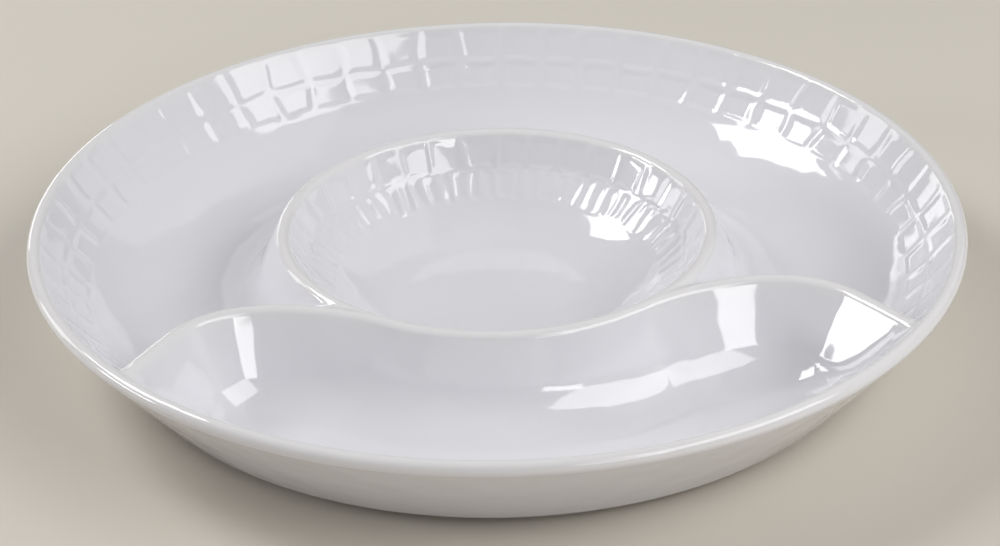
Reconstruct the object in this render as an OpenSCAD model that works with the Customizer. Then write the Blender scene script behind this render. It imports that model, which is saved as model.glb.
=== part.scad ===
// Round divided serving dish of glazed stoneware: a dip bowl in the middle, a
// C-shaped trough round its back and sides, and a crescent compartment in front.
// A wavy divider leaves the bowl's rim on both sides and runs out to the wall.
// The dish stands on its foot ring at z = 0 and the crescent faces -Y.

/* [Overall] */
// Outside diameter at the widest level of the lip
rim_d = 305; // [285:1:325]
// Height from the table to the top of the lip
total_h = 39.5; // [36:0.5:44]

/* [Base] */
// Height of the foot ring under the floor
foot_h = 2; // [1.4:0.1:3]
// Width of the foot ring
foot_w = 6; // [4:0.5:9]
// Rounding of the foot ring's two lower edges
foot_round = 1; // [0.4:0.1:1.3]
// Distance from the heel's start in to the foot ring
foot_inset = 4; // [1:0.5:12]
// Thickness of the floor
floor_t = 5.5; // [4.6:0.1:6.5]
// Radius of the heel under the wall
heel_r = 8; // [5:0.5:10]

/* [Wall and lip] */
// Thickness of the wall, and of the round lip on it
wall_t = 5; // [4:0.1:6.5]
// Slope of the wall from level, in degrees
wall_a = 50; // [47:1:54]
// Radius of the cove between the wall and the trough's floor
wall_cove_r = 36; // [28:1:42]

/* [Dip bowl] */
// Diameter of the bowl along the crest of its rim
bowl_d = 140; // [132:1:146]
// How far the bowl's rim lies below the top of the lip
bowl_drop = 4.3; // [3:0.1:6.5]
// Thickness of the bowl's round rim
bowl_rim_t = 5.5; // [4.6:0.1:6.5]
// Slope of the bowl's outside and of the divider's two faces
ridge_a = 55; // [51:1:59]
// Radius of the cove round the bowl and along the divider
ridge_cove_r = 14; // [10:1:17]
// Slope of the upper part of the bowl's inside
bowl_upper_a = 60; // [55:1:66]
// Slope of the lower part of the bowl's inside
bowl_lower_a = 42; // [38:1:48]

/* [Divider] */
// Angle from the front at which the divider leaves the bowl's rim
leave_a = 34; // [28:1:38]
// Radius of the long sweep that leaves the bowl, as a share of the trough's width
sweep_share = 0.885; // [0.77:0.005:0.97]
// Turn of the shoulder towards the wall, in degrees
shoulder_a = 57; // [50:1:62]
// Radius left at the toe of the divider's face inside the shoulder
shoulder_toe_r = 4.5; // [3:0.5:9]
// How far the divider's crest ends below the top of the lip
end_drop = 2.2; // [1.4:0.1:4]

/* [Relief] */
// Number of dimples round the wall
wall_cells = 60; // [48:2:72]
// Length of the wall's upper row of dimples, as a share of the straight slope under the margin
wall_upper_share = 0.5; // [0.46:0.005:0.51]
// Length of the wall's lower row of dimples, as the same kind of share
wall_lower_share = 0.46; // [0.4:0.005:0.475]
// Number of dimples round the bowl, with two flutes under each
bowl_cells = 36; // [28:2:44]
// Drop of the bowl's upper row, as a share of the bowl's depth
bowl_upper_share = 0.34; // [0.3:0.005:0.38]
// Drop of the bowl's lower row of flutes, as the same kind of share
bowl_lower_share = 0.305; // [0.25:0.005:0.32]
// Plain margin between a rim and its relief
relief_margin = 1; // [0.8:0.1:1.4]
// Thickness of the embossed lining at its ridges
relief_t = 1.2; // [1:0.1:1.5]
// Depth of the dimples and flutes
relief_depth = 0.4; // [0.3:0.05:0.6]

/* [Hidden] */

// Clearance where a faceted piece seats on a revolved one, square to the surface
seat_gap = 0.1;
seat_lift = seat_gap / cos(wall_a);
back_t = relief_t - seat_gap;
// Least height of the divider's thin edges over what they lie on
edge_t = 0.25;
// Shares of a wall cell at which its dimple has an edge or a floor
wall_col_shares = [0.06, 0.22, 0.78, 0.94];
wall_col_depth_shares = [0, 1, 1, 0];
// The same for a bowl cell: one dimple above, two flutes below
bowl_col_shares = [0.07, 0.25, 0.43, 0.57, 0.75, 0.93];
bowl_col_upper_depth_shares = [0, 0.9, 1, 1, 0.9, 0];
bowl_col_lower_depth_shares = [0, 0.75, 0, 0, 0.75, 0];
// Shares of a row's length at which its dimples have an edge or a floor
row_shares = [0.08, 0.28, 0.74, 0.93];
row_depth_shares = [0, 1, 0.9, 0];
row_is = [0:len(row_shares) - 1];
// Shares across one face of the divider, from its crest to its toe
across_shares = [0.07, 0.14, 0.38, 0.68, 1];
// First and last section of the divider, as shares of its crest line
start_share = 0.035;
end_share = 0.985;
// Steps along the divider, and steps in one arc of a profile
along_n = 20;
arc_n = 10;
// Passes of the search for the divider's edge
search_n = 24;
around_fn = 180;
glaze_col = [0.87, 0.87, 0.89];
lip_col = [0.88, 0.87, 0.85];
bare_col = [0.80, 0.77, 0.72];

rim_r = rim_d / 2;
lip_r = wall_t / 2;
bowl_r = bowl_d / 2;
crest_r = bowl_rim_t / 2;
floor_top = foot_h + floor_t;
bowl_top = total_h - bowl_drop;
end_top = total_h - end_drop;

// Points of an arc about c, from angle a0 to a1
function arc(c, r, a0, a1) =
    [for (i = [0:arc_n]) let (a = a0 + (a1 - a0) * i / arc_n) c + r * [cos(a), sin(a)]];

// Wall profile, as points [radius, height]
wall_up = [cos(wall_a), sin(wall_a)];
wall_out = [sin(wall_a), -cos(wall_a)];
lip_c = [rim_r - lip_r, total_h - lip_r];
wall_in_top = lip_c - lip_r * wall_out;
wall_out_top = lip_c + lip_r * wall_out;

// Centre of an arc of radius r that touches the level z and the wall line through p
function tucked_c(p, z, r) =
    [p[0] + ((z + r - p[1]) * cos(wall_a) - r) / sin(wall_a), z + r];

cove_c = tucked_c(wall_in_top, floor_top, wall_cove_r);
heel_c = tucked_c(wall_out_top, foot_h, heel_r);
wall_cove = arc(cove_c, wall_cove_r, -90, wall_a - 90);
heel = arc(heel_c, heel_r, -90, wall_a - 90);
floor_edge = [wall_out_top[0] - (wall_out_top[1] - floor_top) / tan(wall_a), floor_top];
slope_l = norm(wall_in_top - wall_cove[arc_n]) - relief_margin;
wall_upper_l = wall_upper_share * slope_l;
wall_lower_l = wall_lower_share * slope_l;
wall_relief_l = wall_upper_l + wall_lower_l;
wall_relief_top = wall_in_top - relief_margin * wall_up;
wall_relief_end = wall_relief_top - wall_relief_l * wall_up;

// Bowl profile: the rim's round, the outside slope and cove, the inside slopes
crest_c = [bowl_r, bowl_top - crest_r];
ridge_out = [sin(ridge_a), cos(ridge_a)];
slope_top = crest_c + crest_r * ridge_out;
ridge_cove_c = [slope_top[0] + (ridge_cove_r - (floor_top + ridge_cove_r - slope_top[1])
                * cos(ridge_a)) / sin(ridge_a), floor_top + ridge_cove_r];
bowl_outside = concat(arc(crest_c, crest_r, 90, 90 - ridge_a),
                      arc(ridge_cove_c, ridge_cove_r, 270 - ridge_a, 270));
upper_in = [-sin(bowl_upper_a), cos(bowl_upper_a)];
upper_down = [-cos(bowl_upper_a), -sin(bowl_upper_a)];
lower_in = [-sin(bowl_lower_a), cos(bowl_lower_a)];
lower_down = [-cos(bowl_lower_a), -sin(bowl_lower_a)];
bowl_in_top = crest_c + crest_r * upper_in;
bowl_depth = bowl_in_top[1] - floor_top;
bowl_upper_l = bowl_upper_share * bowl_depth / sin(bowl_upper_a);
bowl_lower_l = bowl_lower_share * bowl_depth / sin(bowl_lower_a);
bowl_relief_top = bowl_in_top + relief_margin * upper_down;
bowl_bend = bowl_relief_top + bowl_upper_l * upper_down;
bowl_relief_end = bowl_bend + bowl_lower_l * lower_down;
bend_mitre = (upper_in + lower_in) / (1 + upper_in * lower_in);
bowl_bottom_r = (bowl_relief_end[1] - floor_top) / (1 - cos(bowl_lower_a));
bowl_bottom_c = [bowl_relief_end[0] - bowl_bottom_r * sin(bowl_lower_a),
                 floor_top + bowl_bottom_r];

// Height of the revolved surfaces over radius, from the bowl's crest to the lip
seat_table = concat(bowl_outside, wall_cove, [wall_in_top]);
function seat_z(p) = lookup(norm([p[0], p[1]]), seat_table);

// Height of the divider at a distance v from its crest line
function ridge_z(v, top) =
    let (
        v1 = crest_r * sin(ridge_a),
        z1 = top - crest_r + crest_r * cos(ridge_a),
        cove_top = floor_top + ridge_cove_r * (1 - cos(ridge_a)),
        v2 = v1 + (z1 - cove_top) / tan(ridge_a),
        v3 = v2 + ridge_cove_r * sin(ridge_a)
    )
    v <= v1 ? top - crest_r + sqrt(crest_r * crest_r - v * v) :
    v <= v2 ? z1 - (v - v1) * tan(ridge_a) :
    v <= v3 ? floor_top + ridge_cove_r - sqrt(pow(ridge_cove_r, 2) - pow(v3 - v, 2)) :
    floor_top;
function ridge_half_w(top) =
    crest_r * sin(ridge_a) + ridge_cove_r * sin(ridge_a)
    + (top - crest_r + crest_r * cos(ridge_a) - floor_top
       - ridge_cove_r * (1 - cos(ridge_a))) / tan(ridge_a);

// Crest line in plan: a sweep that leaves the bowl's crest circle without a kink,
// the shoulder, and a straight run to the wall. A step gives [point, turn], where
// the turn is the angle that the line has turned from the direction +X.
sweep_r = sweep_share * (wall_in_top[0] - bowl_r);
shoulder_r = ridge_half_w(end_top) + shoulder_toe_r;
sweep_c = (bowl_r + sweep_r) * [sin(leave_a), -cos(leave_a)];
shoulder_c = sweep_c + [0, sweep_r - shoulder_r];
sweep_l = sweep_r * leave_a * PI / 180;
shoulder_l = shoulder_r * shoulder_a * PI / 180;
run_start = shoulder_c + shoulder_r * [sin(shoulder_a), cos(shoulder_a)];
run_dir = [cos(shoulder_a), -sin(shoulder_a)];
run_end_r = wall_in_top[0] - (wall_in_top[1] - end_top) / tan(wall_a);
run_half = run_start * run_dir;
run_l = sqrt(run_half * run_half + run_end_r * run_end_r - run_start * run_start) - run_half;
line_l = sweep_l + shoulder_l + run_l;
function crest_step(s) =
    s < sweep_l
    ? let (t = s / sweep_r * 180 / PI - leave_a) [sweep_c + sweep_r * [sin(t), cos(t)], t]
    : s < sweep_l + shoulder_l
    ? let (t = (s - sweep_l) / shoulder_r * 180 / PI)
      [shoulder_c + shoulder_r * [sin(t), cos(t)], t]
    : [run_start + (s - sweep_l - shoulder_l) * run_dir, shoulder_a];
function ease(t) = t * t * (3 - 2 * t);

// Distance from the crest to the edge of one face, found by halving. side is 1
// for the face towards the trough and -1 for the face towards the crescent.
function face_p(p, turn, side, v) = p + side * v * [sin(turn), cos(turn)];
function over(p, turn, top, side, v) =
    ridge_z(v, top) - seat_z(face_p(p, turn, side, v)) - edge_t;
function face_edge(p, turn, top, side, lo, hi, n) =
    n == 0 ? lo :
    let (mid = (lo + hi) / 2)
    over(p, turn, top, side, mid) > 0
    ? face_edge(p, turn, top, side, mid, hi, n - 1)
    : face_edge(p, turn, top, side, lo, mid, n - 1);

// One cross-section: [top points, seat points], from the trough to the crescent
function section(s) =
    let (
        step = crest_step(s),
        top = bowl_top + (end_top - bowl_top) * ease(s / line_l),
        full = ridge_half_w(top),
        back = face_edge(step[0], step[1], top, 1, 0, full, search_n),
        front = face_edge(step[0], step[1], top, -1, 0, full, search_n),
        n = len(across_shares),
        vs = concat([for (i = [n - 1:-1:0]) back * across_shares[i]], [0],
                    [for (i = [0:n - 1]) -front * across_shares[i]]),
        ps = [for (v = vs) face_p(step[0], step[1], 1, v)]
    )
    [[for (i = [0:len(vs) - 1])
        [ps[i][0], ps[i][1], max(ridge_z(abs(vs[i]), top), seat_z(ps[i]) + edge_t)]],
     [for (p = ps) [p[0], p[1], seat_z(p) + seat_lift]]];

// Skin over loops of points, each joined to the next: closed into a ring, or with
// its two end loops capped
module loft_loops(loops, closed) {
    n = len(loops[0]);
    m = len(loops);
    pts = [for (l = loops) each l];
    last = closed ? m - 1 : m - 2;
    sides = [for (i = [0:last]) for (j = [0:n - 1]) let (
        a = i * n + j, b = i * n + (j + 1) % n,
        c = ((i + 1) % m) * n + j, d = ((i + 1) % m) * n + (j + 1) % n)
        each [[a, b, d], [a, d, c]]];
    caps = closed ? [] : [[for (j = [n - 1:-1:0]) j], [for (j = [0:n - 1]) (m - 1) * n + j]];
    polyhedron(pts, concat(sides, caps), convexity = 8);
}

// Embossed lining. fronts has one profile of [radius, height] points for each column
// of a cell, back is the profile behind them all, and each loop runs down the front
// of its column and up the back.
module lining(cells, col_shares, fronts, back) {
    loft_loops([for (k = [0:cells - 1]) for (c = [0:len(col_shares) - 1])
        let (a = (k + col_shares[c]) * 360 / cells, prof = concat(fronts[c], back))
        [for (p = prof) [p[0] * cos(a), p[0] * sin(a), p[1]]]], true);
}

module foot_ring() {
    out_r = heel_c[0] - foot_inset;
    in_r = out_r - foot_w;
    color(bare_col) rotate_extrude($fn = around_fn)
        polygon(concat([[in_r, foot_h]],
                       arc([in_r + foot_round, foot_round], foot_round, 180, 270),
                       arc([out_r - foot_round, foot_round], foot_round, 270, 360),
                       [[out_r, foot_h]]));
}

module floor() {
    color(glaze_col) rotate_extrude($fn = around_fn)
        polygon(concat([[0, foot_h]], heel, [floor_edge, [0, floor_top]]));
}

module outer_wall() {
    color(glaze_col) rotate_extrude($fn = around_fn)
        polygon(concat(wall_cove,
                       [wall_relief_end, wall_relief_end + relief_t * wall_out,
                        wall_relief_top + relief_t * wall_out, wall_relief_top,
                        wall_in_top, wall_out_top, floor_edge]));
}

module rim_lip() {
    color(lip_col) rotate_extrude($fn = around_fn)
        polygon(arc(lip_c, lip_r, wall_a - 90, wall_a + 90));
}

module wall_relief() {
    top = wall_relief_top - seat_gap * wall_up;
    l = wall_relief_l - 2 * seat_gap;
    rows = concat([[0, 0]],
        [for (i = row_is) [row_shares[i] * wall_upper_l, row_depth_shares[i]]],
        [for (i = row_is) [wall_upper_l + row_shares[i] * wall_lower_l, row_depth_shares[i]]],
        [[l, 0]]);
    color(glaze_col) lining(wall_cells, wall_col_shares,
        [for (c = wall_col_depth_shares)
            [for (r = rows) top - r[0] * wall_up + relief_depth * c * r[1] * wall_out]],
        [top - l * wall_up + back_t * wall_out, top + back_t * wall_out]);
}

module dip_bowl() {
    color(glaze_col) rotate_extrude($fn = around_fn)
        polygon(concat(arc(bowl_bottom_c, bowl_bottom_r, 270, 270 + bowl_lower_a),
                       [bowl_relief_end - relief_t * lower_in,
                        bowl_bend - relief_t * bend_mitre,
                        bowl_relief_top - relief_t * upper_in, bowl_relief_top],
                       arc(crest_c, crest_r, 90 + bowl_upper_a, 90),
                       bowl_outside));
}

module bowl_relief() {
    top = bowl_relief_top + seat_gap * upper_down;
    end = bowl_relief_end - seat_gap * lower_down;
    color(glaze_col) rotate(180 / bowl_cells - 90) lining(bowl_cells, bowl_col_shares,
        [for (c = [0:len(bowl_col_shares) - 1]) concat([top],
            [for (i = row_is) bowl_relief_top + row_shares[i] * bowl_upper_l * upper_down
                - relief_depth * bowl_col_upper_depth_shares[c] * row_depth_shares[i] * upper_in],
            [for (i = row_is) bowl_bend + row_shares[i] * bowl_lower_l * lower_down
                - relief_depth * bowl_col_lower_depth_shares[c] * row_depth_shares[i] * lower_in],
            [end])],
        [end - back_t * lower_in, bowl_bend - back_t * bend_mitre,
         top - back_t * upper_in]);
}

module divider_right() {
    color(glaze_col) loft_loops([for (i = [0:along_n]) let (
        s = line_l * (start_share + (end_share - start_share) * i / along_n),
        sec = section(s), n = len(sec[0]))
        concat(sec[0], [for (j = [n - 1:-1:0]) sec[1][j]])], false);
}

module divider_left() {
    mirror([1, 0, 0]) divider_right();
}

foot_ring();
floor();
outer_wall();
rim_lip();
wall_relief();
dip_bowl();
bowl_relief();
divider_left();
divider_right();
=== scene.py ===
# Looks of a divided serving dish in white glazed stoneware. The clay is one body, so
# every piece here is a closed region of it whose skin runs on into its neighbours':
# inside the dish the pieces share one height field, which also gives their normals.
from math import radians

import bpy
import numpy as np
from mathutils import Matrix, Vector


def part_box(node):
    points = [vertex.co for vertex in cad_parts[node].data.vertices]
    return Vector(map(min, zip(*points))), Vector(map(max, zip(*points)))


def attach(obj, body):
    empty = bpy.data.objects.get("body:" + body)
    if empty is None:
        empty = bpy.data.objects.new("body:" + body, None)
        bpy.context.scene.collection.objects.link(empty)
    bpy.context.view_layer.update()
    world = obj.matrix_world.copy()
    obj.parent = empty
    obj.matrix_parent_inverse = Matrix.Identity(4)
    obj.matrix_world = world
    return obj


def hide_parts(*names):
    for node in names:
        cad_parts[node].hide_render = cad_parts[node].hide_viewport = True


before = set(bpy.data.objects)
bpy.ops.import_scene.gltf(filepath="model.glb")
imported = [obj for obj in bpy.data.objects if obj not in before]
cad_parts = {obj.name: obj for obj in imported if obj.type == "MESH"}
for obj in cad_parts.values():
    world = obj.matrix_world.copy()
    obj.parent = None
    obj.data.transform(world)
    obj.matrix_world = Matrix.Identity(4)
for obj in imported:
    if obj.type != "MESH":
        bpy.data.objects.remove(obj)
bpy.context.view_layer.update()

# Sizes taken from the frame, in metres
rim_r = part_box("rim_lip")[1].x
total_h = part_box("rim_lip")[1].z
bowl_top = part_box("dip_bowl")[1].z
floor_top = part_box("floor")[1].z
foot_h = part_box("foot_ring")[1].z
foot_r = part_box("foot_ring")[1].x

# Sizes of the profiles that the frame's boxes don't give
foot_w = 0.006
foot_round = 0.001
heel_r = 0.008
lip_r = 0.0025
wall_a = radians(50)
wall_cove_r = 0.036
upper_row_a, lower_row_a = radians(52), radians(47.5)
row_turn = 0.003
bowl_r = 0.07
crest_r = 0.00275
ridge_a, wing_a = radians(66.5), radians(62)
wing_turn = 0.014
ridge_toe = 0.0281
bowl_upper_a = radians(60)
bowl_lower_a = radians(42)
bowl_upper_share = 0.34
bowl_lower_share = 0.305
wall_upper_share = 0.5
wall_lower_share = 0.46
relief_margin = 0.001
relief_t = 0.0022
wall_cells = 60
bowl_cells = 36

# The glazed relief: how deep it is, the shares of a cell that its flanks take, and how
# far the upper dimples run out over the rims, which scallops them
wall_depth = 0.0003
bowl_depth = 0.00028
cell_flank = 0.22
flute_flank = 0.5
top_flank = 0.26
row_flank = 0.2
lip_run = 0.0014
rim_run = 0.001
# How uneven the pressed cells are: how far their sides wander, in cells, how far their
# ends do, and by what share their depth changes
side_wander = 0.08
end_wander = 0.0005
depth_change = 0.35
# The waves that make them uneven: how many go round the dish, how many radians to a metre
# of its radius, and what multiple of the phase each takes
uneven_waves = ((17, 520, 1), (29, -390, 2.3), (47, 210, -1.7))
# Distance from a crest within which the glaze has run thin
thin_run = 0.0055

# The divider's crest line in plan
leave_a = radians(34)
shoulder_a = radians(57)
shoulder_toe_r = 0.0049
end_drop = 0.0022
sweep_share = 0.885

# How softly the divider runs into the bowl and the wall, and the least distance and blend
# that keep the divisions sound
bowl_blend = 0.6
trough_blend = 0.0045
crescent_blend = 0.009
least_gap = 1e-9
least_blend = 1e-6

# Length and steps of the table of the glazed wall's inside
way_l, way_steps = 0.075, 7500

# How fine the meshes are: columns round the dish, an arc's longest step, widest turn and
# least rows, the rows of the long straight stretches and of the wall's cove, and the
# relief's step
columns = 1200
bowl_columns = 1008
plain_columns = 504
profile_step = 0.0009
arc_turn = 0.12
arc_rows = 5
base_rows, level_rows, back_rows, slope_rows = 12, 16, 8, 12
cove_rows = 34
relief_step = 0.00034
# A wing's grid: the step along its crest line, how far it runs past the line's end, and
# the columns and half width of its crest and the columns of its faces
wing_step = 0.0004
wing_overrun = 0.002
crest_columns, face_columns = 14, 64
crest_half_w = 0.003
# How far out a wing's edge is looked for on the crescent's side and the trough's, in half
# widths of its ridge, in how many steps, and down to what height
crescent_reach, trough_reach = 1.05, 2
edge_steps = 1400
edge_height = 1e-7
# How far a wing's underside lies in the plain dish, and how far its edges are sunk
under = 0.0004
sink = 0.000015
# How deep a wing is tucked under the bowl's rim, over what run, and how fast its edge may
# move out along the crest line
tuck, tuck_run = 0.0006, 0.003
edge_fan = 6.0

# Camera, fitted to the rim, the bowl's rim and the base line in the photograph
frame_px = (1000, 546)
centre_px = (496.66, 219.05)
rim_px = 466.13
cam_azimuth, cam_elevation, cam_roll = -5.0, 28.09, -1.04
cam_distance = 0.9608

# Half the table's width, and how far the lamps stand from the dish
table_half_w = 4.0
lamp_distance = 1.6

# Colours
glaze_white = (0.805, 0.797, 0.83)
glaze_cream = (0.825, 0.812, 0.81)
clay_dark = (0.50, 0.45, 0.37)
clay_light = (0.66, 0.61, 0.53)
table_grey = (0.69, 0.65, 0.575)
room_pale = (0.93, 0.93, 0.95)


def unit(v):
    """The vectors at length one."""
    return v / np.linalg.norm(v, axis=-1, keepdims=True)


def smooth(t):
    """0 below t = 0, 1 above t = 1, and 3t^2 - 2t^3 in between."""
    t = np.clip(t, 0, 1)
    return t * t * (3 - 2 * t)


def soft_max(a, b, k):
    """The larger of a and b, rounded where they differ by less than k."""
    return np.maximum(a, b) + np.maximum(k - np.abs(a - b), 0) ** 2 / (4 * k)


# Wall profile, in radius and height
lip_c = np.array([rim_r - lip_r, total_h - lip_r])
wall_up = np.array([np.cos(wall_a), np.sin(wall_a)])
wall_out = np.array([np.sin(wall_a), -np.cos(wall_a)])
wall_in_top = lip_c - lip_r * wall_out
wall_out_top = lip_c + lip_r * wall_out


def arc_centre(p, z, r):
    """Centre of an arc of radius r that touches the level z and the wall line through p."""
    return np.array([p[0] + ((z + r - p[1]) * np.cos(wall_a) - r) / np.sin(wall_a), z + r])


cove_top = arc_centre(wall_in_top, floor_top, wall_cove_r) + wall_cove_r * wall_out
heel_c = arc_centre(wall_out_top, foot_h, heel_r)
floor_edge = (wall_out_top[0] - (wall_out_top[1] - floor_top) / np.tan(wall_a), floor_top)
slope_l = np.linalg.norm(wall_in_top - cove_top) - relief_margin

# The wall's lining: how far its upper end, its middle and its lower end lie down the slope,
# their points, and the two ends of its back
wall_rows = np.cumsum([relief_margin, wall_upper_share * slope_l, wall_lower_share * slope_l])
lining_top, lining_mid, lining_end = (wall_in_top - d * wall_up for d in wall_rows)
lining_back_top = lining_top + relief_t * wall_out
lining_back_end = lining_end + relief_t * wall_out

# The glazed wall is a little hollow: its upper row is steeper than its lower one. Radius
# and height down its inside, from the lip to the floor, as running sums of short steps
# whose slope falls from one row's to the other's and then to level along a cove.
way = np.linspace(0, way_l, way_steps + 1)
way_step = way[1]
row_slope = upper_row_a + (lower_row_a - upper_row_a) * smooth(
    (way - wall_rows[1]) / row_turn + 0.5)
hollow_top = lip_c + lip_r * np.array([-np.sin(upper_row_a), np.cos(upper_row_a)])
row_drop = np.interp(wall_rows[2], way, np.cumsum(np.sin(row_slope)) * way_step)
hollow_cove_r = (hollow_top[1] - row_drop - floor_top) / (1 - np.cos(lower_row_a))
slope_at = np.where(way < wall_rows[2], row_slope,
                    np.maximum(lower_row_a - (way - wall_rows[2]) / hollow_cove_r, 0))
hollow_r = hollow_top[0] - np.cumsum(np.cos(slope_at)) * way_step
hollow_z = np.maximum(hollow_top[1] - np.cumsum(np.sin(slope_at)) * way_step, floor_top)
cove_end = hollow_r[np.argmax(slope_at <= 0)]

# Bowl profile, with the directions out of its two inner slopes, between them and down them
crest_c = np.array([bowl_r, bowl_top - crest_r])
upper_in = np.array([-np.sin(bowl_upper_a), np.cos(bowl_upper_a)])
lower_in = np.array([-np.sin(bowl_lower_a), np.cos(bowl_lower_a)])
mitre = (upper_in + lower_in) / (1 + upper_in @ lower_in)
in_top = crest_c + crest_r * upper_in
depth_in = in_top[1] - floor_top
upper_l = bowl_upper_share * depth_in / np.sin(bowl_upper_a)
lower_l = bowl_lower_share * depth_in / np.sin(bowl_lower_a)
upper_down = -np.array([np.cos(bowl_upper_a), np.sin(bowl_upper_a)])
lower_down = -np.array([np.cos(bowl_lower_a), np.sin(bowl_lower_a)])
relief_top = in_top + relief_margin * upper_down
bend = in_top + (relief_margin + upper_l) * upper_down
relief_end = bend + lower_l * lower_down
bottom_r = (relief_end[1] - floor_top) / (1 - np.cos(bowl_lower_a))
bottom_c = np.array([relief_end[0] - bottom_r * np.sin(bowl_lower_a), floor_top + bottom_r])

# Back of the bowl's lining, which is also the bottom of its recess
relief_back_top = relief_top - relief_t * upper_in
relief_back_bend = bend - relief_t * mitre
relief_back_end = relief_end - relief_t * lower_in


def ridge_half_w(top):
    """Distance from a ridge's crest line to its toe, which moves out as the ridge rises."""
    return ridge_toe + (top - bowl_top) / np.tan(wing_a)


def ridge_cove(top, slope):
    """Radius of the cove that touches the floor at a ridge's toe and its straight slope."""
    fall = top - crest_r + crest_r * np.cos(slope) - floor_top
    room = ridge_half_w(top) - crest_r * np.sin(slope) - fall / np.tan(slope)
    return room / np.tan(slope / 2)


def ridge_z(v, top, slope=ridge_a):
    """Height of a ridge at the distance v from its crest line: a round crest, a straight
    slope, and a cove that runs out level on the floor."""
    v = np.abs(v)
    cove_r = ridge_cove(top, slope)
    v1 = crest_r * np.sin(slope)
    z1 = top - crest_r + crest_r * np.cos(slope)
    v3 = ridge_half_w(top)
    v2 = v3 - cove_r * np.sin(slope)
    crest = top - crest_r + np.sqrt(np.maximum(crest_r**2 - v**2, 0))
    straight = z1 - (v - v1) * np.tan(slope)
    cove = floor_top + cove_r - np.sqrt(np.maximum(cove_r**2 - (v3 - v) ** 2, 0))
    return np.select([v <= v1, v <= v2, v <= v3], [crest, straight, cove], floor_top)


def hump(t, rise, fall):
    """0 at t = 0 and t = 1 and 1 between them, with flanks that take the shares rise and
    fall of the way."""
    return smooth(t / rise) * smooth((1 - t) / fall)


def uneven(turn, r, phase):
    """Slow waves from -1 to 1 round the dish and along its radius, as the mean of three
    sines that no cell repeats."""
    waves = [np.sin(count * turn + per_metre * r + multiple * phase)
             for count, per_metre, multiple in uneven_waves]
    return sum(waves) / len(waves)


def wall_relief_drop(r, turn):
    """How far the wall's dimples lie below its plain profile: two rows of cells round
    the dish, each the product of a hump across the cell and a hump down the slope. The
    upper row starts on the lip. Each phase of the uneven waves moves one thing: the
    cells' ends, their sides or their depth."""
    down = np.interp(-r, -hollow_r, way, left=-1)
    down = np.where(down < 0, (hollow_r[0] - r) / np.cos(upper_row_a), down)
    down = down + end_wander * uneven(turn, r, phase=1)
    cell = turn * wall_cells / (2 * np.pi) + side_wander * uneven(turn, r, phase=2)
    across = hump(np.mod(cell, 1), cell_flank, cell_flank)
    depth = wall_depth * (1 + depth_change * uneven(turn, r, phase=3))
    upper = hump((down + lip_run) / (wall_rows[1] + lip_run), top_flank, row_flank)
    lower = hump((down - wall_rows[1]) / (wall_rows[2] - wall_rows[1]), row_flank, top_flank)
    rows = np.where(down < wall_rows[1], upper, lower)
    return across * rows * depth / np.cos(upper_row_a)


def wall_z(r, turn):
    """Height of the wall's inside over the radius: the hollow profile, read off between
    its steps, and the inner half of the round lip, less the dimples."""
    lip = lip_c[1] + np.sqrt(np.maximum(lip_r**2 - (r - lip_c[0]) ** 2, 0))
    inside = np.interp(-r, -hollow_r, hollow_z)
    return np.where(r > hollow_top[0], lip, inside) - wall_relief_drop(r, turn)


def bowl_in_z(r, turn):
    """Height of the bowl's inside over the radius: level bottom, a cove, a lower slope
    with two flutes to a cell, an upper slope with one dimple to a cell, and the rim, on
    which the dimples start. The cells are uneven as the wall's are."""
    u = (turn + np.pi / 2) * bowl_cells / (2 * np.pi) - 0.5
    u = np.mod(u + side_wander * uneven(turn, r, phase=4), 1)
    inward = end_wander * uneven(turn, r, phase=5) - r
    down = (in_top[0] + inward) / np.cos(bowl_upper_a)
    t_low = (bend[0] + inward) / (bend[0] - relief_end[0])
    dimple = hump((down + rim_run) / (relief_margin + upper_l + rim_run), top_flank, row_flank)
    dimple = dimple * hump(u, cell_flank, cell_flank) / np.cos(bowl_upper_a)
    flute = hump(t_low, row_flank, top_flank) * hump(np.mod(2 * u, 1), flute_flank, flute_flank)
    flute = flute / np.cos(bowl_lower_a)
    bottom = bottom_c[1] - np.sqrt(np.maximum(bottom_r**2 - (r - bottom_c[0]) ** 2, 0))
    lower = relief_end[1] + (r - relief_end[0]) * np.tan(bowl_lower_a)
    upper = bend[1] + (r - bend[0]) * np.tan(bowl_upper_a)
    rim = crest_c[1] + np.sqrt(np.maximum(crest_r**2 - (r - crest_c[0]) ** 2, 0))
    plain = np.select([r <= bottom_c[0], r <= relief_end[0], r <= bend[0], r <= in_top[0]],
                      [floor_top, bottom, lower, upper], rim)
    depth = bowl_depth * (1 + depth_change * uneven(turn, r, phase=6))
    return plain - depth * np.where(bend[0] + inward > 0, flute, dimple)


def plain_z(r, turn):
    """Height of the dish without its divider: the bowl inside its rim, and outside it
    the higher of the bowl's ridge and the wall."""
    outside = np.maximum(ridge_z(r - bowl_r, bowl_top), wall_z(r, turn))
    return np.where(r < bowl_r, bowl_in_z(r, turn), outside)


# The divider's crest line: a sweep that leaves the bowl's crest circle, the shoulder,
# and a straight run to the wall
end_top = total_h - end_drop
sweep_r = sweep_share * (wall_in_top[0] - bowl_r)
shoulder_r = ridge_half_w(end_top) + shoulder_toe_r
sweep_c = (bowl_r + sweep_r) * np.array([np.sin(leave_a), -np.cos(leave_a)])
shoulder_c = sweep_c + np.array([0, sweep_r - shoulder_r])
sweep_l = sweep_r * leave_a
shoulder_l = shoulder_r * shoulder_a
run_start = shoulder_c + shoulder_r * np.array([np.sin(shoulder_a), np.cos(shoulder_a)])
run_dir = np.array([np.cos(shoulder_a), -np.sin(shoulder_a)])
end_r = wall_in_top[0] - (wall_in_top[1] - end_top) / np.tan(wall_a)
half = run_start @ run_dir
line_l = sweep_l + shoulder_l + np.sqrt(half**2 + end_r**2 - run_start @ run_start) - half


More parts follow.
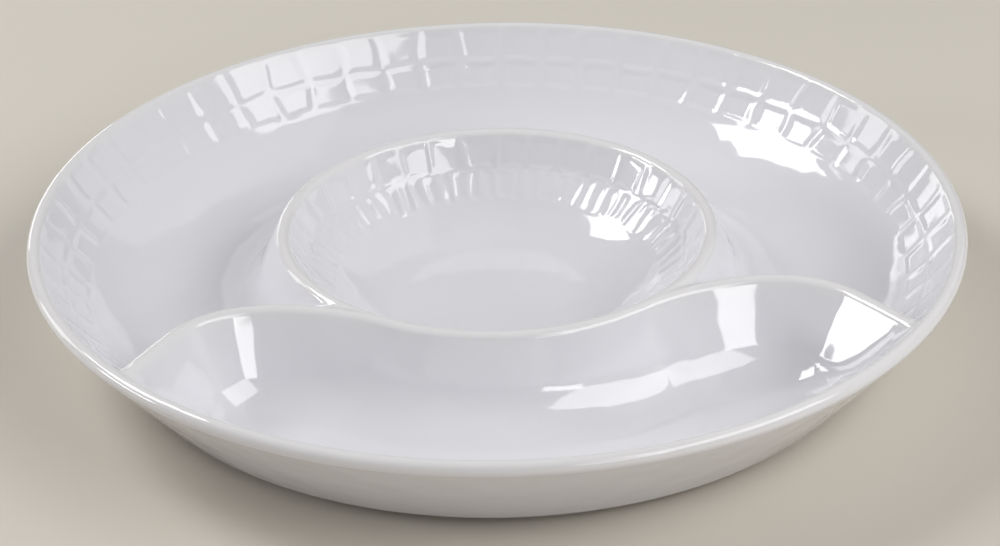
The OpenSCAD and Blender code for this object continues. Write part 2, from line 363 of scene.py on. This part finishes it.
def crest_line(s):
    """Point and turn of the crest line at the length s along it: an arc, a second arc
    that touches it, and a straight line. The turn is measured from the direction +X."""
    t1 = s / sweep_r - leave_a
    t2 = (s - sweep_l) / shoulder_r
    far = (s - sweep_l - shoulder_l)[..., None] * run_dir + run_start
    one = sweep_c + sweep_r * np.stack([np.sin(t1), np.cos(t1)], -1)
    two = shoulder_c + shoulder_r * np.stack([np.sin(t2), np.cos(t2)], -1)
    first, second = s < sweep_l, s < sweep_l + shoulder_l
    point = np.where(first[..., None], one, np.where(second[..., None], two, far))
    return point, np.where(first, t1, np.where(second, t2, shoulder_a))


def divider_point(s, v):
    """Point of the right wing at the length s along its crest line and the distance v
    from it, positive towards the trough. The bowl's rim and the wing are one ridge whose
    distance is the softened least of the two and whose slope goes over from the bowl's
    to the wing's, and the wall joins it by a soft maximum that sharpens towards the
    floor and the lip. Within the bowl's rim it lies tucked under the bowl."""
    point, turn = crest_line(s)
    x = point[..., 0] + v * np.sin(turn)
    y = point[..., 1] + v * np.cos(turn)
    r, bearing = np.hypot(x, y), np.arctan2(y, x)
    a = np.abs(v)
    b = np.maximum(r - bowl_r, least_gap)
    k = bowl_blend * (a + b) + least_gap
    merged = np.minimum(a, b) - np.maximum(1 - np.abs(a - b) / k, 0) ** 2 * k / 4
    share = np.where(v > 0, smooth(0.5 + 0.5 * (b - a) / k), 1)
    top = bowl_top + (end_top - bowl_top) * smooth(s / line_l) * share
    slope = ridge_a + (wing_a - ridge_a) * smooth(s / wing_turn) * share
    ridge = ridge_z(np.where(v > 0, merged, a), top, slope)
    wall = wall_z(r, bearing)
    reach = np.where(v > 0, trough_blend, crescent_blend)
    lift = ridge + wall - 2 * floor_top
    k_wall = np.clip(np.minimum(wall_in_top[1] - wall, lift), least_blend, reach)
    z = soft_max(ridge, wall, k_wall)
    tucked_in = bowl_in_z(r, bearing) - tuck * smooth((bowl_r - r) / tuck_run)
    return np.stack([x, y, np.where(r < bowl_r, tucked_in, z)], -1)


def over_plain(s, v):
    """How far the wing stands over the dish without its divider."""
    p = divider_point(s, v)
    r = np.hypot(p[..., 0], p[..., 1])
    return np.where(r < bowl_r, 0, p[..., 2] - plain_z(r, np.arctan2(p[..., 1], p[..., 0])))


def wing_edge(s, side, widest):
    """For each s, the distance from the crest line at which the wing has sunk into the
    plain dish, on one side, found as the last of many steps that still stands over it.
    The edge has no jump: it is widened where it would move in or out by more than
    edge_fan times the way along the crest line."""
    v = np.linspace(0, widest, edge_steps)[1:]
    high = over_plain(s[:, None] + 0 * v, side * v[None, :]) > edge_height
    last = len(v) - 1 - np.argmax(high[:, ::-1], axis=1)
    edge = v[np.where(high.any(1), last, 0)]
    apart = edge_fan * np.abs(s[:, None] - s[None, :])
    return (edge[None, :] - apart).max(1)


def normals_of(f, a, b, step=2e-5):
    """Unit normals of the surface f of two parameters, as the cross product of its
    central differences."""
    da = f(a + step, b) - f(a - step, b)
    db = f(a, b + step) - f(a, b - step)
    return unit(np.cross(da, db))


def thinness(verts, crest_gap=np.inf):
    """How thin the glaze has run, from 0 to 1: 1 near the crest of the lip, of the bowl's
    rim and of the divider, and 0 a few millimetres away from them all."""
    r = np.hypot(verts[:, 0], verts[:, 1])
    lip_gap = np.hypot(r - lip_c[0], verts[:, 2] - total_h)
    rim_gap = np.hypot(r - bowl_r, verts[:, 2] - bowl_top)
    gap = np.minimum(np.minimum(lip_gap, rim_gap), crest_gap)
    return 1 - smooth(gap / thin_run)


def placed(name, data):
    """Object of the given name for a mesh, lamp or camera, in the scene."""
    thing = bpy.data.objects.new(name, data)
    bpy.context.scene.collection.objects.link(thing)
    return thing


def mesh_of(name, verts, faces, normals, material, nodes, crest_gap=np.inf):
    """Piece from vertices, faces and one shading normal for each corner of the faces,
    with the thinness of its glaze as an attribute."""
    mesh = bpy.data.meshes.new(name)
    mesh.from_pydata(verts.tolist(), [], faces)
    mesh.polygons.foreach_set("use_smooth", np.ones(len(mesh.polygons), bool))
    mesh.normals_split_custom_set(normals.reshape(-1, 3).tolist())
    mesh.attributes.new("thin", "FLOAT", "POINT").data.foreach_set(
        "value", thinness(verts, crest_gap).astype(np.float32))
    mesh.materials.append(material)
    piece = placed(name, mesh)
    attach(piece, "root")
    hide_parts(*nodes)


def ring_piece(name, stretches, material, nodes, poles=False):
    """Piece whose section runs counter-clockwise through the stretches in turn and is
    carried round the dish. A stretch is a pair of grids, points and normals, with a row
    for each point of the section and a column for each step round the dish, and starts
    on the row where the one before it ends. With poles, the section starts and ends on
    the dish's axis, where its row is one point."""
    cols = stretches[0][0].shape[1]
    rows = np.concatenate([points[:-1] for points, _ in stretches])
    start = np.concatenate([normals[:-1] for _, normals in stretches])
    end = np.concatenate([normals[1:] for _, normals in stretches])
    if poles:
        rows = np.concatenate([rows, stretches[-1][0][-1:]])
    n = len(rows)
    index = np.arange(n * cols).reshape(n, cols)
    verts = rows.reshape(-1, 3)
    if poles:
        index = np.concatenate([np.zeros((1, cols), int), index[1:-1] - cols + 1,
                                np.full((1, cols), (n - 2) * cols + 1)])
        verts = np.concatenate([rows[0, :1], verts[cols:-cols], rows[-1, :1]])
    low, high = index[: len(start)], np.roll(index, -1, 0)[: len(start)]
    quads = np.stack([low, np.roll(low, -1, 1), np.roll(high, -1, 1), high], -1)
    corner = np.stack([start, np.roll(start, -1, 1), np.roll(end, -1, 1), end], 2)
    quads, corner = quads.reshape(-1, 4), corner.reshape(-1, 4, 3)
    faces, normals = quads.tolist(), corner
    if poles:
        first = np.delete(quads[:cols], 1, 1), np.delete(corner[:cols], 1, 1)
        last = np.delete(quads[-cols:], 3, 1), np.delete(corner[-cols:], 3, 1)
        faces = first[0].tolist() + faces[cols:-cols] + last[0].tolist()
        parts = first[1], corner[cols:-cols], last[1]
        normals = np.concatenate([part.reshape(-1, 3) for part in parts])
    mesh_of(name, verts, faces, normals, material, nodes)


def around(count):
    """Angles of the columns round the dish."""
    return np.arange(count) * 2 * np.pi / count


def revolved(profile, normals, count):
    """Stretch of a ring: points and normals of a section, in radius and height, turned
    round the dish's axis."""
    t = around(count)
    def turn(p):
        return np.stack([p[:, :1] * np.cos(t), p[:, :1] * np.sin(t), p[:, 1:] + 0 * t], -1)
    return turn(profile), turn(normals)


def line(a, b, count=1):
    """Straight section from a to b, with its normals to the right of the way along it."""
    a, b = np.array(a), np.array(b)
    along = unit(b - a)
    steps = np.linspace(0, 1, count + 1)[:, None]
    return a + steps * (b - a), np.repeat(np.array([[along[1], -along[0]]]), count + 1, 0)


def arc(c, r, a0, a1):
    """Arc section about c from the angle a0 to a1, with its normals to the right of the
    way along it."""
    arc_l = abs(a1 - a0) * r
    count = int(max(arc_rows, np.ceil(arc_l / profile_step), abs(a1 - a0) / arc_turn))
    t = np.linspace(a0, a1, count + 1)
    out = np.stack([np.cos(t), np.sin(t)], -1)
    return c + r * out, np.sign(a1 - a0) * out


def inside_stretch(f, radii, count):
    """Stretch of a ring over the given radii whose heights are the field f of radius and
    turn, with its normals from the field."""
    def point(r, t):
        return np.stack([r * np.cos(t), r * np.sin(t), f(r, t)], -1)
    r, t = np.meshgrid(radii, around(count), indexing="ij")
    return point(r, t), normals_of(point, r, t)


def onward(row, stretch):
    """The stretch with its first row moved to the given row of points."""
    points, normals = stretch
    return np.concatenate([row[None], points[1:]]), normals


def steps_of(*stops):
    """Numbers from each stop to the next, at most relief_step apart, the stops included."""
    runs = [np.linspace(a, b, int(abs(b - a) / relief_step) + 2)[:-1]
            for a, b in zip(stops[:-1], stops[1:])]
    return np.concatenate(runs + [[stops[-1]]])


def foot_ring(material):
    """Ring under the floor, its section a rectangle with two rounded lower corners."""
    inner, outer = foot_r - foot_w, foot_r
    c_in, c_out = (np.array([x, foot_round]) for x in (inner + foot_round, outer - foot_round))
    section = [
        line((outer, foot_h), (inner, foot_h)),
        line((inner, foot_h), (inner, foot_round)),
        arc(c_in, foot_round, np.pi, 1.5 * np.pi),
        line((c_in[0], 0), (c_out[0], 0)),
        arc(c_out, foot_round, -0.5 * np.pi, 0),
        line((outer, foot_round), (outer, foot_h)),
    ]
    ring_piece("foot_ring_bare", [revolved(*part, plain_columns) for part in section],
               material, ["foot_ring"])


def floor_plate(material):
    """Round plate with the heel at its edge: flat below and above, closed on the axis."""
    heel_end = heel_c + heel_r * wall_out
    section = [
        line((0, foot_h), (heel_c[0], foot_h), base_rows),
        arc(heel_c, heel_r, -0.5 * np.pi, wall_a - 0.5 * np.pi),
        line(heel_end, floor_edge),
        line(floor_edge, (0, floor_top), level_rows),
    ]
    ring_piece("floor_glazed", [revolved(*part, plain_columns) for part in section],
               material, ["floor"], poles=True)


def outer_wall(material):
    """Flared wall: the margin under the lip, where the dimples already run, the recess
    that the lining fills, the slope and cove down to the floor, and the outer slope."""
    margin = inside_stretch(wall_z, steps_of(wall_in_top[0], lining_top[0]), columns)
    recess = [
        line(lining_top, lining_back_top),
        line(lining_back_top, lining_back_end),
        line(lining_back_end, lining_end),
    ]
    cove_radii = np.linspace(lining_end[0], cove_end, cove_rows)
    cove = inside_stretch(wall_z, cove_radii, columns)
    back = [
        line((cove_end, floor_top), floor_edge),
        line(floor_edge, wall_out_top, back_rows),
        line(wall_out_top, wall_in_top),
    ]
    recess, back = ([revolved(*part, columns) for part in parts] for parts in (recess, back))
    recess[0] = onward(margin[0][-1], recess[0])
    ring_piece("outer_wall_glazed", [margin] + recess + [cove] + back,
               material, ["outer_wall"])


def rim_lip(material):
    """Round lip: half a circle over the wall's edge, its inner part scalloped by the
    dimples that start on it."""
    inner = inside_stretch(wall_z, steps_of(lip_c[0], wall_in_top[0]), columns)
    outer = revolved(*arc(lip_c, lip_r, wall_a - 0.5 * np.pi, 0.5 * np.pi), columns)
    seat = revolved(*line(wall_in_top, wall_out_top), columns)
    ring_piece("rim_lip_glazed", [outer, inner, onward(inner[0][-1], seat)],
               material, ["rim_lip"])


def wall_relief(material):
    """Embossed lining of the wall: the dimpled field in front, a plain cone behind."""
    radii = steps_of(lining_top[0], lining_mid[0], lining_end[0])
    front = inside_stretch(wall_z, radii, columns)
    behind = [
        line(lining_end, lining_back_end),
        line(lining_back_end, lining_back_top),
        line(lining_back_top, lining_top),
    ]
    behind = [revolved(*part, columns) for part in behind]
    behind[0] = onward(front[0][-1], behind[0])
    ring_piece("wall_relief_glazed", [front] + behind, material, ["wall_relief"])


def dip_bowl(material):
    """Middle bowl: the cove and slope outside, the round rim, scalloped inside by the
    dimples, the recess of its lining and the cove down to its bottom."""
    slope_out = np.array([np.sin(ridge_a), np.cos(ridge_a)])
    toe = bowl_r + ridge_half_w(bowl_top)
    toe_r = ridge_cove(bowl_top, ridge_a)
    toe_c = np.array([toe, floor_top + toe_r])
    outside = [
        arc(toe_c, toe_r, 1.5 * np.pi, 1.5 * np.pi - ridge_a),
        line(toe_c - toe_r * slope_out, crest_c + crest_r * slope_out, slope_rows),
        arc(crest_c, crest_r, 0.5 * np.pi - ridge_a, 0.5 * np.pi),
    ]
    inner = inside_stretch(bowl_in_z, steps_of(bowl_r, in_top[0], relief_top[0]), bowl_columns)
    recess = [
        line(relief_top, relief_back_top),
        line(relief_back_top, relief_back_bend),
        line(relief_back_bend, relief_back_end),
        line(relief_back_end, relief_end),
        arc(bottom_c, bottom_r, 1.5 * np.pi + bowl_lower_a, 1.5 * np.pi),
        line((bottom_c[0], floor_top), (toe, floor_top)),
    ]
    rest = [revolved(*part, bowl_columns) for part in recess]
    rest[0] = onward(inner[0][-1], rest[0])
    ring_piece("dip_bowl_glazed",
               [revolved(*part, bowl_columns) for part in outside] + [inner] + rest,
               material, ["dip_bowl"])


def bowl_relief(material):
    """Embossed lining of the bowl: the dimples and flutes in front, two cones behind."""
    radii = steps_of(relief_top[0], bend[0], relief_end[0])
    front = inside_stretch(bowl_in_z, radii, bowl_columns)
    behind = [
        line(relief_end, relief_back_end),
        line(relief_back_end, relief_back_bend),
        line(relief_back_bend, relief_back_top),
        line(relief_back_top, relief_top),
    ]
    ring_piece("bowl_relief_glazed",
               [front] + [revolved(*part, bowl_columns) for part in behind],
               material, ["bowl_relief"])


def divider_wing(name, node, side, material):
    """Wing of the divider: the field of divider_point over a grid of the length along
    the crest line and the distance from it, sunk by a hair where it meets the plain dish,
    with an underside that follows the plain dish. side is 1 for right and -1 for left."""
    s = np.linspace(0, line_l + wing_overrun, int(line_l / wing_step))
    near = np.linspace(0, 1, crest_columns)
    far = np.linspace(0, 1, face_columns)[1:]
    sides = []
    for face, reach in ((-1, crescent_reach), (1, trough_reach)):
        edge = wing_edge(s, face, reach * ridge_half_w(end_top))
        crest = np.minimum(crest_half_w, edge / 2)
        v = np.concatenate([crest[:, None] * near,
                            crest[:, None] + (edge - crest)[:, None] * far], 1)
        sides.append(face * v)
    v = np.concatenate([sides[0][:, ::-1], sides[1][:, 1:]], 1)
    grid_s = s[:, None] + 0 * v
    top = divider_point(grid_s, v)
    height = over_plain(grid_s, v)
    normals = normals_of(divider_point, grid_s, v)
    top[..., 2] -= sink * (1 - smooth(height / (4 * sink)))
    base = top.copy()
    base[..., 2] -= np.maximum(height, 0) + under
    flip = np.array([side, 1, 1])
    m, n = v.shape
    index = np.arange(m * n).reshape(m, n)
    def quads(a, b, c, d):
        return np.stack([a, b, c, d], -1).reshape(-1, 4)
    upper = quads(index[:-1, :-1], index[1:, :-1], index[1:, 1:], index[:-1, 1:])
    lower = upper[:, ::-1] + m * n
    border = np.concatenate([index[0, :0:-1], index[:-1, 0], index[-1, :-1], index[:0:-1, -1]])
    step = np.roll(border, -1)
    skirt = np.stack([border, border + m * n, step + m * n, step], -1)
    faces = np.concatenate([upper, lower, skirt])
    corner = np.concatenate([normals, -normals]).reshape(-1, 3)[faces]
    if side < 0:
        faces, corner = faces[:, ::-1], corner[:, ::-1]
    verts = np.concatenate([top, base]).reshape(-1, 3) * flip
    gap = np.abs(np.concatenate([v, v])).reshape(-1)
    mesh_of(name, verts, faces.tolist(), corner * flip, material, [node], gap)


def shader(name):
    """New material with its Principled shader, a function that adds a node with its
    settings and socket values, and a function that links two sockets."""
    material = bpy.data.materials.new(name)
    material.use_nodes = True
    tree = material.node_tree
    def add(kind, **values):
        node = tree.nodes.new(kind)
        for key, value in values.items():
            if hasattr(node, key):
                setattr(node, key, value)
            else:
                node.inputs[key].default_value = value
        return node
    return material, tree.nodes["Principled BSDF"], add, tree.links.new


def glaze(name):
    """White glaze: cream where it has run thin over a crest, with the faint waves that a
    fired glaze keeps, so that its reflections wander."""
    material, bsdf, add, link = shader(name)
    place = add("ShaderNodeTexCoord").outputs["Object"]
    crest = add("ShaderNodeAttribute", attribute_name="thin")
    mix = add("ShaderNodeMix", data_type="RGBA")
    mix.inputs["A"].default_value = (*glaze_white, 1)
    mix.inputs["B"].default_value = (*glaze_cream, 1)
    link(crest.outputs["Fac"], mix.inputs["Factor"])
    link(mix.outputs["Result"], bsdf.inputs["Base Color"])
    waves = add("ShaderNodeTexNoise", Scale=70.0, Detail=1.0, Roughness=0.4)
    link(place, waves.inputs["Vector"])
    bump = add("ShaderNodeBump", Strength=1.0, Distance=0.00036)
    link(waves.outputs["Fac"], bump.inputs["Height"])
    link(bump.outputs["Normal"], bsdf.inputs["Normal"])
    bsdf.inputs["Roughness"].default_value = 0.07
    bsdf.inputs["IOR"].default_value = 1.6
    return material


def bare_clay():
    """Unglazed fired clay: matte, with a fine sandy grain."""
    material, bsdf, add, link = shader("bare_clay")
    place = add("ShaderNodeTexCoord").outputs["Object"]
    grain = add("ShaderNodeTexNoise", Scale=1400.0, Detail=3.0, Roughness=0.6)
    blotch = add("ShaderNodeTexNoise", Scale=90.0, Detail=2.0, Roughness=0.5)
    mix = add("ShaderNodeMix", data_type="RGBA")
    mix.inputs["A"].default_value = (*clay_dark, 1)
    mix.inputs["B"].default_value = (*clay_light, 1)
    for node in (grain, blotch):
        link(place, node.inputs["Vector"])
    link(blotch.outputs["Fac"], mix.inputs["Factor"])
    link(mix.outputs["Result"], bsdf.inputs["Base Color"])
    bump = add("ShaderNodeBump", Strength=0.5, Distance=0.0001)
    link(grain.outputs["Fac"], bump.inputs["Height"])
    link(bump.outputs["Normal"], bsdf.inputs["Normal"])
    bsdf.inputs["Roughness"].default_value = 0.8
    return material


def table(material):
    """Wide level floor that the dish stands on."""
    mesh = bpy.data.meshes.new("table")
    w = table_half_w
    mesh.from_pydata([(-w, -w, 0), (w, -w, 0), (w, w, 0), (-w, w, 0)], [], [(0, 1, 2, 3)])
    mesh.materials.append(material)
    piece = placed("table", mesh)


def table_finish():
    """Matte warm grey."""
    material, bsdf, _, _ = shader("table")
    bsdf.inputs["Base Color"].default_value = (*table_grey, 1)
    bsdf.inputs["Roughness"].default_value = 0.9
    bsdf.inputs["Specular IOR Level"].default_value = 0.1
    return material


def direction(azimuth, elevation):
    """Unit vector out of the dish at an azimuth, counted from the front towards the
    right, and an elevation, both in degrees."""
    a, e = radians(azimuth), radians(elevation)
    return Vector((np.sin(a) * np.cos(e), -np.cos(a) * np.cos(e), np.sin(e)))


def softbox(name, azimuth, elevation, width, height, power):
    """Rectangular lamp that faces the dish's middle from the direction given in degrees."""
    away = direction(azimuth, elevation)
    lamp = bpy.data.lights.new(name, "AREA")
    lamp.shape = "RECTANGLE"
    lamp.size, lamp.size_y = width, height
    lamp.energy = power
    stand = placed(name, lamp)
    stand.location = Vector((0, 0, total_h / 2)) + away * lamp_distance
    stand.rotation_mode = "QUATERNION"
    stand.rotation_quaternion = away.to_track_quat("Z", "Y")


def photo_camera():
    """Camera that sees the dish as the photograph does: it stands on a line through the
    rim's centre, is turned so that the centre shows at its pixel, and is rolled."""
    back = direction(cam_azimuth, cam_elevation)
    right = Vector((np.cos(radians(cam_azimuth)), np.sin(radians(cam_azimuth)), 0))
    up = back.cross(right)
    roll = radians(cam_roll)
    tilted_right = right * np.cos(roll) + up * np.sin(roll)
    tilted_up = up * np.cos(roll) - right * np.sin(roll)
    px = rim_px / rim_r
    target = Vector((0, 0, lip_c[1]))
    aim = target + tilted_right * ((frame_px[0] / 2 - centre_px[0]) / px)
    aim -= tilted_up * ((frame_px[1] / 2 - centre_px[1]) / px)
    spot = target + back * cam_distance
    look = (spot - aim).normalized()
    side = tilted_up.cross(look).normalized()
    camera = bpy.data.cameras.new("camera")
    camera.sensor_width = 36
    camera.lens = px * cam_distance / frame_px[0] * camera.sensor_width
    camera.clip_end = 20
    stand = placed("camera", camera)
    turn = Matrix((side, look.cross(side), look)).transposed()
    stand.matrix_world = Matrix.Translation(spot) @ turn.to_4x4()
    bpy.context.scene.camera = stand


white = glaze("white_glaze")
foot_ring(bare_clay())
floor_plate(white)
outer_wall(white)
rim_lip(glaze("lip_glaze"))
wall_relief(white)
dip_bowl(white)
bowl_relief(white)
divider_wing("divider_left_glazed", "divider_left", -1, white)
divider_wing("divider_right_glazed", "divider_right", 1, white)

table(table_finish())
photo_camera()
world = bpy.data.worlds.new("studio")
world.use_nodes = True
background = world.node_tree.nodes["Background"]
background.inputs["Color"].default_value = (*room_pale, 1)
background.inputs["Strength"].default_value = 0.15
bpy.context.scene.world = world
# Each lamp's azimuth and elevation in degrees, its width and height, and its power
softbox("window_front_right", 54, 42.5, 1.29, 0.84, 12.4)
softbox("front_window", 22, 24, 0.5, 0.2, 1.9)
softbox("window_left", -118, 46, 0.6, 0.6, 9.5)
softbox("window_left_low", -96, 16, 0.5, 0.25, 4)
softbox("front", -10, 12, 1.6, 0.3, 0.8)
softbox("right", 105, 40, 2.2, 1.6, 5.4)
softbox("back_left", -124, 17, 0.4, 0.72, 2.6)
softbox("low_back_left", -156, 4, 0.55, 0.35, 1.6)
bpy.context.scene.view_settings.view_transform = "Standard"
